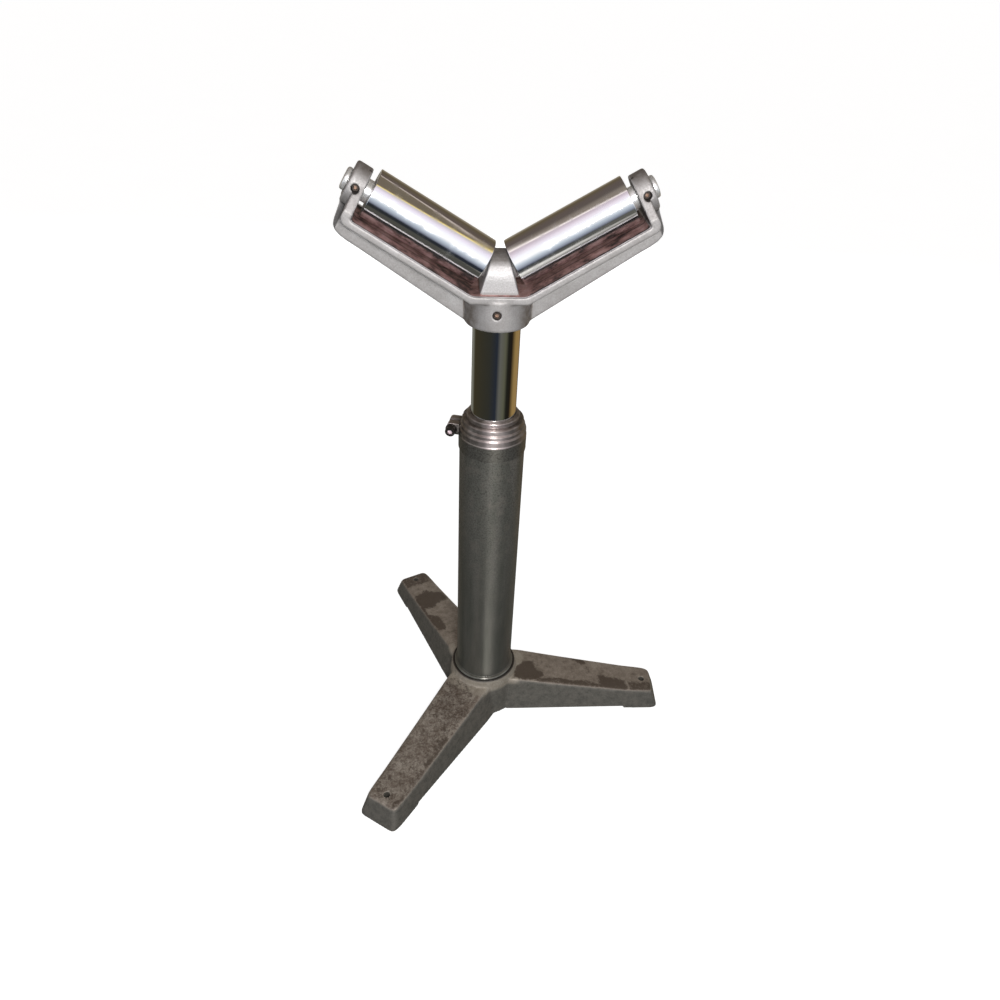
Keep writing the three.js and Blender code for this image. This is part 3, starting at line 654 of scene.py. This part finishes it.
# bare lighter metal on the shoulder round the hub, between the rim and the legs' tops
attribute(base.data, "tan", smooth(p[:, 2], 52, 60) * (1 - smooth(reach, 62, 74)) * (1 - 0.9 * smooth(stain, 0.4, 0.8)))
# painted shade in the groove round the column's bead, inside the rim
attribute(base.data, "groove", smooth(p[:, 2], 60, 66) * smooth(reach, 43, 45) * (1 - smooth(reach, 51.4, 52.6)) * (1 - smooth(p[:, 2], 77.4, 78.4)))
place(base, "base", "base_iron", "base_casting")

# ------------------------------------------------------------------ columns and collar
outer = lathe("outer_tube", [
    (40.5, 14.3, 0.4), (44.5, 14.3, 0.6), (44.5, 75.5, 0), (48.3, 75.5, 0.5), (48.3, 77.4, 1.0), (47.0, 78.9, 1.2), (44.5, 80.0, 0.6),
    (44.5, 497.0, 0.8), (42.7, 497.0, 0.2), (42.7, 519.5, 0.5), (40.5, 519.5, 0.4)], STAND, segs=192)
place(shade(outer, 40), "base", "tube_paint", "outer_column")

TURNED = STAND @ Matrix.Rotation(CLAMP_TURN, 4, "Z")
collar = lathe("collar", [
    (43, 497.3, 0.3), (45.9, 497.3, 0.7), (45.9, 519, 0.6), (45.3, 520.4, 0.4), (45.3, 527.4, 1.0), (43.5, 529.6, 0.5), (43.5, 533.8, 0.8),
    (41.4, 536, 0.5), (41.3, 541.6, 0.9), (39.8, 543, 0.5), (33.4, 543, 0.4), (33.4, 539.7, 0.1), (30.4, 539.7, 0.1), (30.4, 519.8, 0.3),
    (43, 519.8, 0.1)], TURNED, segs=160)
lug = [(-43.5, 513.6), (-55.9, 513.6), (-57.6, 514.0), (-59.0, 514.9), (-60.0, 516.4), (-60.4, 518.2), (-60.4, 525.8), (-60.0, 527.6),
       (-59.0, 529.1), (-57.6, 530.0), (-55.9, 530.4), (-43.5, 530.4)]
LUG = TURNED @ Matrix.Rotation(math.radians(90), 4, "X")
lugs = prism("lugs", [(x, z) for x, z in lug], -12.2, 12.2, LUG)
mod = lugs.modifiers.new("bevel", "BEVEL")
mod.width, mod.segments, mod.limit_method, mod.angle_limit = 1.1 * MM, 3, "ANGLE", math.radians(60)
settle(lugs)
combine(collar, lugs, "UNION")
combine(collar, prism("cut", [(-90, -3), (-20, -3), (-20, 3), (-90, 3)], 480, 560, TURNED), "DIFFERENCE")
HOLE = TURNED @ Matrix.Translation(Vector((-54, 0, 522)) * MM) @ Matrix.Rotation(math.radians(90), 4, "X")
combine(collar, prism("cut", ring(40, 4.6), 1.0, 30, HOLE), "DIFFERENCE")
combine(collar, prism("cut", ring(40, 4.3), -30, -1.0, HOLE), "DIFFERENCE")
shade(collar, 34)


def highlight_and_rub(obj, lug=False):
    """A painted highlight patch on the front, and the ends of the lugs rubbed bright."""
    q = np.empty(len(obj.data.vertices) * 3)
    obj.data.vertices.foreach_get("co", q)
    m4 = obj.matrix_world
    q = q.reshape(-1, 3) @ np.array(m4.to_3x3()).T + np.array(m4.translation) - np.array(AXIS)
    q /= MM
    turn = np.degrees(np.arctan2(q[:, 0], -q[:, 1]))
    r = 1 - smooth(np.abs(turn - 1.0), 10, 34)
    if lug:
        r = np.maximum(r, 0.75 * smooth(np.hypot(q[:, 0], q[:, 1]), 48, 52))
    attribute(obj.data, "highlight_and_rub", r)
    return obj


place(highlight_and_rub(collar, True), "base", "collar_steel", "clamp_collar")

wiper = lathe("wiper", [
    (30.35, 540, 0.1), (33.1, 540, 0.1), (33.1, 543.3, 0.1), (35.5, 543.3, 0.3), (35.5, 548.4, 0.7), (34.7, 549.6, 0.6), (31.2, 551.2, 0.5),
    (30.35, 551.2, 0.1)], STAND, segs=144)
place(highlight_and_rub(shade(wiper, 40)), "base", "collar_steel", "wiper_ring")

thread = []
z = -9.6
while z < 12.6:
    thread += [(3.98, z, 0), (3.45, z + 0.62, 0)]
    z += 1.25
screw = lathe("clamp_cap_screw", [(3.0, -10.6, 0)] + thread + [
    (4.0, 13.4, 0), (4.0, 14.4, 0.2), (6.3, 14.4, 0.2), (6.8, 14.9, 0.3), (6.8, 21.4, 0.3), (6.1, 22.4, 0.25)],
    HOLE, segs=144, closed=False, knurl=(15.2, 21.2, 36, 0.28))
combine(screw, prism("cut", ring(6, 3.6, math.radians(12)), 18.2, 25, HOLE), "DIFFERENCE")
shade(screw, 38)
q = np.empty(len(screw.data.vertices) * 3)
screw.data.vertices.foreach_get("co", q)
q = (q.reshape(-1, 3) @ np.array(screw.matrix_world.to_3x3()).T + np.array(screw.matrix_world.translation)
     - np.array(HOLE.translation)) @ np.array(HOLE.to_3x3()) / MM
# painted reflection: the bottom of the socket is lightened
attribute(screw.data, "light_patch", (np.hypot(q[:, 0], q[:, 1]) < 3.7) & (q[:, 2] > 17) & (q[:, 2] < 19))
place(screw, "clamp_screw", "dark_steel", "clamp_screw")
washer = lathe("clamp_flat_washer", [(4.4, 12.5, 0.15), (8, 12.5, 0.3), (8, 14.1, 0.35), (4.4, 14.1, 0.15)], HOLE, segs=96)
place(shade(washer, 40), "base", "bright_steel", "clamp_washer", look="dark_steel")

inner = lathe("inner_tube", [
    (26, 150, 0.5), (30, 150, 0.8), (30, 152.6, 0.1), (28.4, 152.6, 0.1), (28.4, 155, 0.1), (30, 155, 0.1), (30, 189.5, 0.1), (28.4, 189.5, 0.1),
    (28.4, 191.9, 0.1), (30, 191.9, 0.1), (30, 706, 0.6), (26, 706, 0.4)], STAND, segs=192)
place(shade(inner, 40), "head", "column_chrome", "inner_column")


# ------------------------------------------------------------------ head
def roller_frame(side):
    return STAND @ Matrix.Translation(Vector((side * 19.9, 0, 750.3)) * MM) @ Matrix.Rotation(side * (math.pi / 2 - TILT), 4, "Y")


def st(s, t):
    return 19.9 + s * math.cos(TILT) - t * math.sin(TILT), 750.3 + s * math.sin(TILT) + t * math.cos(TILT)


sx, sz = st(163.2, 1.8)
SCREW_TURN = math.radians(-3.9)
across = (-math.sin(SCREW_TURN), math.cos(SCREW_TURN), 0)
bores = [((0, 0, 0), (0, 0, 1), 30.3, 670, 706), ((0, 0, 699.5), across, 5.0, -45, -31), ((0, 0, 699.5), across, 5.0, 31, 45)]
for side in (1, -1):
    d = (side * math.cos(TILT), 0, math.sin(TILT))
    c = (side * 19.9, 0, 750.3)
    bores += [(c, d, 10.3, -12.9, 0), (c, d, 10.3, 150, 176), ((side * sx, 0, sz), (0, 1, 0), 4.5, -30, -10.4)]
head, p, nor = casting("head_cast", "head_bracket", 0.72, 13, bores)
ax = np.abs(p[:, 0])
lip_z = 720.9 + np.maximum(0, (ax - 32)) * math.tan(math.radians(32))
inside = (np.abs(p[:, 1]) < 34.4) & (nor[:, 2] > 0.15) & (ax < 170)
depth = np.abs(p[:, 1])
trough = smooth(lip_z - p[:, 2], -1.2, 0.2) * inside * smooth(33.9 - depth, 0, 0.8)
# painted shade on the inner face of the ear and its lower corner
s_along = (ax - 19.9) * math.cos(TILT) + (p[:, 2] - 750.3) * math.sin(TILT)
t_up = -(ax - 19.9) * math.sin(TILT) + (p[:, 2] - 750.3) * math.cos(TILT)
facing_in = -(np.sign(p[:, 0]) * nor[:, 0] * math.cos(TILT) + nor[:, 2] * math.sin(TILT))
ear_in = smooth(s_along, 150.5, 153.2) * (s_along < 156) * smooth(-t_up, 2, 18) * (np.abs(p[:, 1]) < 33) * smooth(facing_in, 0.5, 0.85)
attribute(head.data, "trough", trough)
attribute(head.data, "shade", 0.75 * ear_in)
# painted shade where each lip rises from the trough's floor, painted shadow where the web meets the strap and the ear,
# and painted shade round the screw holes
crease_shade = trough * smooth(depth + 1.2 * wobble(p, 14, 3), 25.0, 27.5) * (ax > 36)
under = 711.1 + (ax - 32) * math.tan(math.radians(32)) - p[:, 2]
web_shadow = (1 - smooth(under, 8.5, 11.5)) * (ax > 44) * (s_along < 158)
web_shadow = np.maximum(web_shadow, (1 - smooth(s_along, 168.0, 171.0)) * (s_along > 163) * (t_up < -22))
web_shadow = web_shadow * (depth < 8.5) * smooth(depth, 5.6, 6.3)
hole_shade = np.zeros(len(p))
for point, direction, radius, s0, s1 in bores[1:]:
    if abs(direction[2]) < 0.1:
        c, d = np.array(point, float), np.array(direction, float)
        s = (p - c) @ d
        hole_shade = np.maximum(hole_shade, 1 - smooth(np.linalg.norm(p - c - np.outer(s, d), axis=1), radius + 0.1, radius + 1.0))
attribute(head.data, "crease_shade", np.maximum(np.maximum(0.92 * crease_shade, 0.7 * web_shadow), 0.8 * hole_shade))
# painted shade on the upward tops of the bosses and the post, and on the hub's sides
above = np.maximum(smooth(p[:, 2], 752, 760) * (ax < 30), smooth(s_along, 153, 155) * (t_up > 4))
sides = smooth(np.abs(p[:, 0]) / np.maximum(np.hypot(p[:, 0], p[:, 1]), 1), 0.50, 0.86) * (p[:, 2] < 712) * (np.hypot(p[:, 0], p[:, 1]) < 42.5)
attribute(head.data, "shade_on_tops_and_sides", np.maximum(smooth(nor[:, 2], 0.45, 0.85) * above, 1.25 * sides))
# painted highlight: marks the inner edge of each lip
attribute(head.data, "edge", smooth(nor[:, 2], 0.25, 0.6) * smooth(depth, 33.8, 34.4) * (1 - smooth(depth, 35.8, 37.2))
          * (p[:, 2] > lip_z - 1.2) * (p[:, 2] < lip_z + 1.5) * (ax < 166))
# painted highlight: lightens the post between the trough's floor and its top
attribute(head.data, "post_highlight", smooth(p[:, 2], 722, 724) * (1 - smooth(p[:, 2], 750, 758)) * (ax < 26) * (depth < 31))
place(head, "head", "head_iron", "head_bracket")


def set_screw(name, r, z0, z1, socket, matrix, node):
    rows = []
    z = z0 + 1.0
    while z < z1 - 1.4:
        rows += [(r, z, 0), (r - 0.4, z + 0.5, 0)]
        z += 1.0
    piece = lathe(name, [(r - 1.2, z0, 0.1)] + rows + [(r, z1 - 0.7, 0.1), (r - 0.5, z1, 0.15)], matrix, segs=72, closed=False)
    combine(piece, prism("cut", ring(6, socket, math.radians(30)), z1 - 3.5, z1 + 2, matrix), "DIFFERENCE")
    shade(piece, 38)
    q = np.empty(len(piece.data.vertices) * 3)
    piece.data.vertices.foreach_get("co", q)
    q = q.reshape(-1, 3) / (MM if np.abs(q).max() < 1 else 1.0)
    attribute(piece.data, "light_patch", (np.hypot(q[:, 0], q[:, 1]) < socket * 1.05) & (q[:, 2] > z1 - 3.8) & (q[:, 2] < z1 - 3.2))
    return place(piece, "head", "dark_steel", node, look="grub_steel")


FRONT, BACK = Matrix.Rotation(math.radians(90), 4, "X"), Matrix.Rotation(math.radians(-90), 4, "X")
UP = STAND @ Matrix.Translation(Vector((0, 0, 699.5)) * MM) @ Matrix.Rotation(SCREW_TURN, 4, "Z")
set_screw("head_grub_screw_front", 4.7, 30.6, 39.6, 2.6, UP @ FRONT, "front_head_set_screw")
set_screw("head_grub_screw_back", 4.7, 30.6, 39.6, 2.6, UP @ BACK, "back_head_set_screw")

# ------------------------------------------------------------------ rollers
for side, word in ((-1, "left"), (1, "right")):
    R = roller_frame(side)
    tube = lathe(f"{word}_roller_shell", [(25, -1.3, 0.3), (28.5, -1.3, 0.9), (28.5, 146.3, 0.9), (25, 146.3, 0.3)], R, segs=192)
    place(shade(tube, 50), f"{word}_roller", "roller_chrome", f"{word}_roller_tube")
    for end, s, d in (("inner", -1.0, 1), ("outer", 146.0, -1)):
        prof = [(17, 0, 0.4), (24.7, 0, 1.4), (24.7, 16.6, 0.3), (23.5, 16.6, 0.3), (23.5, 1.5, 0.6), (17, 1.5, 0.3)]
        cup = lathe(f"{word}_{end}_pressed_cup", [(r, s + d * z, f) for r, z, f in prof], R, segs=96)
        place(shade(cup, 45), f"{word}_roller", "bright_steel", f"{word}_{end}_bearing_cup")
    axle = lathe(f"{word}_axle_pin", [
        (9.0, -12.4, 0.2), (10, -11.5, 0.3), (10, 173.0, 0.1), (12.2, 173.0, 0.3), (13, 173.9, 0.5), (13, 176.2, 0.8), (12.3, 177.9, 1.2), (10.0, 178.7, 0.8)],
        R, segs=112, closed=False, steps=4)
    place(shade(axle, 50), "head", "bright_steel", f"{word}_axle")
    for end, s0, s1 in (("inner", -2.4, 0.5), ("outer", 144.6, 153.4)):
        ring_piece = lathe(f"{word}_{end}_spacer_ring", [(10.3, s0, 0.2), (13, s0, 0.4), (13, s1, 0.4), (10.3, s1, 0.2)], R, segs=80)
        place(shade(ring_piece, 40), "head", "bright_steel", f"{word}_{end}_spacer")
    at = STAND @ Matrix.Translation(Vector((side * sx, 0, sz)) * MM)
    set_screw(f"{word}_axle_grub_screw", 4.2, 10.4, 19.8, 2.3, at @ FRONT, f"{word}_axle_set_screw")


# ------------------------------------------------------------------ stage
def floor_material():
    m = Material("floor")
    soft = m.noise(3.0, 2, 0.5)
    m.set(color=m.mix(m.fit(soft, 0.3, 0.7, 0.0, 1.0), (0.29, 0.29, 0.29, 1), (0.31, 0.31, 0.31, 1)), rough=0.9, metal=0.0, spec=0.1)
    m.bsdf.inputs["Emission Color"].default_value = (1, 1, 1, 1)
    m.bsdf.inputs["Emission Strength"].default_value = 0.93
    return m.m


floor = from_arrays("floor", [(-40, -40, -0.0003), (40, -40, -0.0003), (40, 40, -0.0003), (-40, 40, -0.0003)], [(0, 1, 2, 3)])
floor.data.materials.append(floor_material())
floor.visible_glossy = False
floor.visible_diffuse = False


def area(name, place_at, aim, size, power, colour=(1, 1, 1), glossy=True):
    data = bpy.data.lights.new(name, "AREA")
    data.shape = "RECTANGLE"
    data.size, data.size_y = size
    data.energy = power
    data.color = colour
    obj = link(bpy.data.objects.new(name, data))
    obj.location = place_at
    obj.rotation_euler = (Vector(aim) - Vector(place_at)).to_track_quat("-Z", "Y").to_euler()
    obj.visible_glossy = glossy
    obj.visible_camera = False
    return obj


area("key_front", (-0.02, -1.05, 1.08), (-0.05, 0, 0.58), (0.20, 0.15), 12.5, (1.0, 0.985, 0.97))
area("overhead", (0.1, 0.1, 2.7), (-0.05, 0, 0), (2.6, 2.6), 4, glossy=False)
area("back_fill", (0.2, 2.5, 0.60), (-0.05, 0, 0.50), (2.6, 1.0), 30, (0.97, 0.985, 1.0), glossy=False)


def world():
    """White to the camera, soft white for diffuse light, and a dim room with a broad bright sheet for reflections."""
    w = bpy.data.worlds.new("studio")
    SCENE.world = w
    w.use_nodes = True
    t = w.node_tree
    t.nodes.clear()
    out = t.nodes.new("ShaderNodeOutputWorld")

    def node(kind, **kw):
        n = t.nodes.new(kind)
        for k, v in kw.items():
            setattr(n, k, v)
        return n

    def put(s, v):
        if isinstance(v, bpy.types.NodeSocket):
            t.links.new(v, s)
        else:
            s.default_value = v

    def calc(op, a, b=0.0, clamp=False):
        n = node("ShaderNodeMath", operation=op, use_clamp=clamp)
        put(n.inputs[0], a)
        put(n.inputs[1], b)
        return n.outputs[0]

    def ramp(fac, stops, lo, hi):
        n = node("ShaderNodeValToRGB")
        put(n.inputs["Fac"], fac)
        e = n.color_ramp.elements
        while len(e) < len(stops):
            e.new(0.5)
        for el, (pos, rgb) in zip(e, stops):
            el.position = (pos - lo) / (hi - lo)
            el.color = lin(*rgb)
        return n.outputs["Color"]

    def mix(fac, a, b):
        n = node("ShaderNodeMix", data_type="RGBA", clamp_factor=True)
        put(n.inputs[0], fac)
        put(n.inputs[6], a)
        put(n.inputs[7], b)
        return n.outputs[2]

    def band(value, a, b):
        n = node("ShaderNodeMapRange", interpolation_type="SMOOTHSTEP")
        put(n.inputs["Value"], value)
        n.inputs["From Min"].default_value, n.inputs["From Max"].default_value = a, b
        return n.outputs["Result"]

    xyz = node("ShaderNodeSeparateXYZ")
    t.links.new(node("ShaderNodeTexCoord").outputs["Generated"], xyz.inputs[0])
    x, y, z = xyz.outputs
    back_y = calc("MULTIPLY", y, -1.0)
    azimuth = calc("MULTIPLY", calc("ARCTAN2", x, back_y), 180 / math.pi)         # 0 towards the camera, + to the right
    elevation = calc("MULTIPLY", calc("ARCSINE", z), 180 / math.pi)
    e01 = calc("ADD", calc("DIVIDE", elevation, 180.0), 0.5)
    a01 = calc("ADD", calc("DIVIDE", azimuth, 360.0), 0.5)
    front_stops = [(-90, (60, 60, 55)), (-72, (85, 85, 80)), (-64, (180, 180, 175)), (-55, (120, 120, 120)), (-18, (120, 125, 140)),
                   (-3, (185, 195, 205)), (10, (250, 250, 250)), (25, (245, 245, 250))]
    front_r = ramp(e01, front_stops + [(36, (230, 220, 230)), (49, (190, 175, 185)), (52, (255, 245, 240)), (55, (135, 125, 115)), (90, (90, 85, 80))], -90, 90)
    front_l = ramp(e01, front_stops + [(36, (230, 220, 235)), (44, (195, 190, 190)), (46, (255, 230, 145)), (48, (110, 100, 85)), (90, (90, 85, 80))], -90, 90)
    front = mix(band(azimuth, -10, 10), front_r, front_l)
    back_stops = [(-90, (55, 52, 48)), (-40, (60, 55, 50)), (-12, (160, 155, 145)), (6, (140, 130, 115)), (24, (90, 80, 60)), (48, (90, 80, 75))]
    back_r = ramp(e01, back_stops + [(90, (90, 85, 80))], -90, 90)
    back_l = ramp(e01, back_stops + [(49.5, (225, 210, 200)), (51, (110, 100, 85)), (90, (90, 85, 80))], -90, 90)
    back = mix(band(azimuth, -10, 10), back_r, back_l)
    low = ramp(a01, [(-180, (60, 55, 50)), (-145, (120, 120, 110)), (-120, (55, 50, 35)), (-30, (45, 45, 40)), (4, (35, 40, 50)), (20, (90, 90, 85)),
                     (45, (85, 85, 70)), (60, (30, 30, 25)), (80, (30, 25, 20)), (106, (140, 115, 70)), (140, (140, 115, 75)), (160, (60, 55, 50)), (180, (60, 55, 50))], -180, 180)
    flat = calc("SQRT", calc("MAXIMUM", calc("SUBTRACT", 1.0, calc("MULTIPLY", z, z)), 1e-4))
    frontness = band(calc("DIVIDE", back_y, flat), -0.45, 0.35)
    room = mix(frontness, back, front)
    lower = calc("MULTIPLY", band(elevation, -16, -23), band(elevation, -60, -52))
    steep = ramp(a01, [(-180, (60, 55, 50)), (-145, (110, 105, 95)), (-115, (60, 60, 55)), (20, (75, 75, 70)), (80, (40, 40, 35)), (122, (95, 95, 90)),
                       (150, (105, 105, 100)), (180, (60, 55, 50))], -180, 180)
    low = mix(band(elevation, -31, -35), low, steep)
    room = mix(lower, room, low)
    # a light strip on the floor in front, seen only by the steepest reflections
    strip = calc("MULTIPLY", band(azimuth, -10, 0), band(azimuth, 46, 8))
    strip = calc("MULTIPLY", strip, calc("MULTIPLY", band(elevation, -33, -39), band(elevation, -70, -60)))
    room = mix(strip, room, (1.15, 1.12, 1.05, 1.0))

    path = node("ShaderNodeLightPath")
    glossy = node("ShaderNodeBackground")
    put(glossy.inputs["Color"], room)
    glossy.inputs["Strength"].default_value = 1.28
    diffuse = node("ShaderNodeBackground")
    put(diffuse.inputs["Color"], room)
    diffuse.inputs["Strength"].default_value = 0.60
    seen = node("ShaderNodeBackground")
    seen.inputs["Color"].default_value = (1, 1, 1, 1)
    seen.inputs["Strength"].default_value = 1.0
    m1 = node("ShaderNodeMixShader")
    put(m1.inputs[0], path.outputs["Is Glossy Ray"])
    put(m1.inputs[1], diffuse.outputs[0])
    put(m1.inputs[2], glossy.outputs[0])
    m2 = node("ShaderNodeMixShader")
    put(m2.inputs[0], path.outputs["Is Camera Ray"])
    put(m2.inputs[1], m1.outputs[0])
    put(m2.inputs[2], seen.outputs[0])
    put(out.inputs["Surface"], m2.outputs[0])


world()

# ------------------------------------------------------------------ camera
YAW, PITCH, ROLL = -0.084473, 0.626861, 0.0486438
forward = Vector((-math.sin(YAW) * math.cos(PITCH), math.cos(YAW) * math.cos(PITCH), -math.sin(PITCH)))
right = Vector((math.cos(YAW), math.sin(YAW), 0))
up = right.cross(forward)
R = math.cos(ROLL) * right + math.sin(ROLL) * up
U = -math.sin(ROLL) * right + math.cos(ROLL) * up
cam_data = bpy.data.cameras.new("camera")
cam_data.sensor_fit = "HORIZONTAL"
cam_data.sensor_width = 36.0
cam_data.lens = 28.019
cam_data.clip_start, cam_data.clip_end = 0.01, 200.0
cam = link(bpy.data.objects.new("camera", cam_data))
cam.matrix_world = Matrix(((R.x, U.x, -forward.x, -0.11769), (R.y, U.y, -forward.y, -0.90991), (R.z, U.z, -forward.z, 1.06040), (0, 0, 0, 1)))
SCENE.camera = cam

bpy.context.view_layer.update()
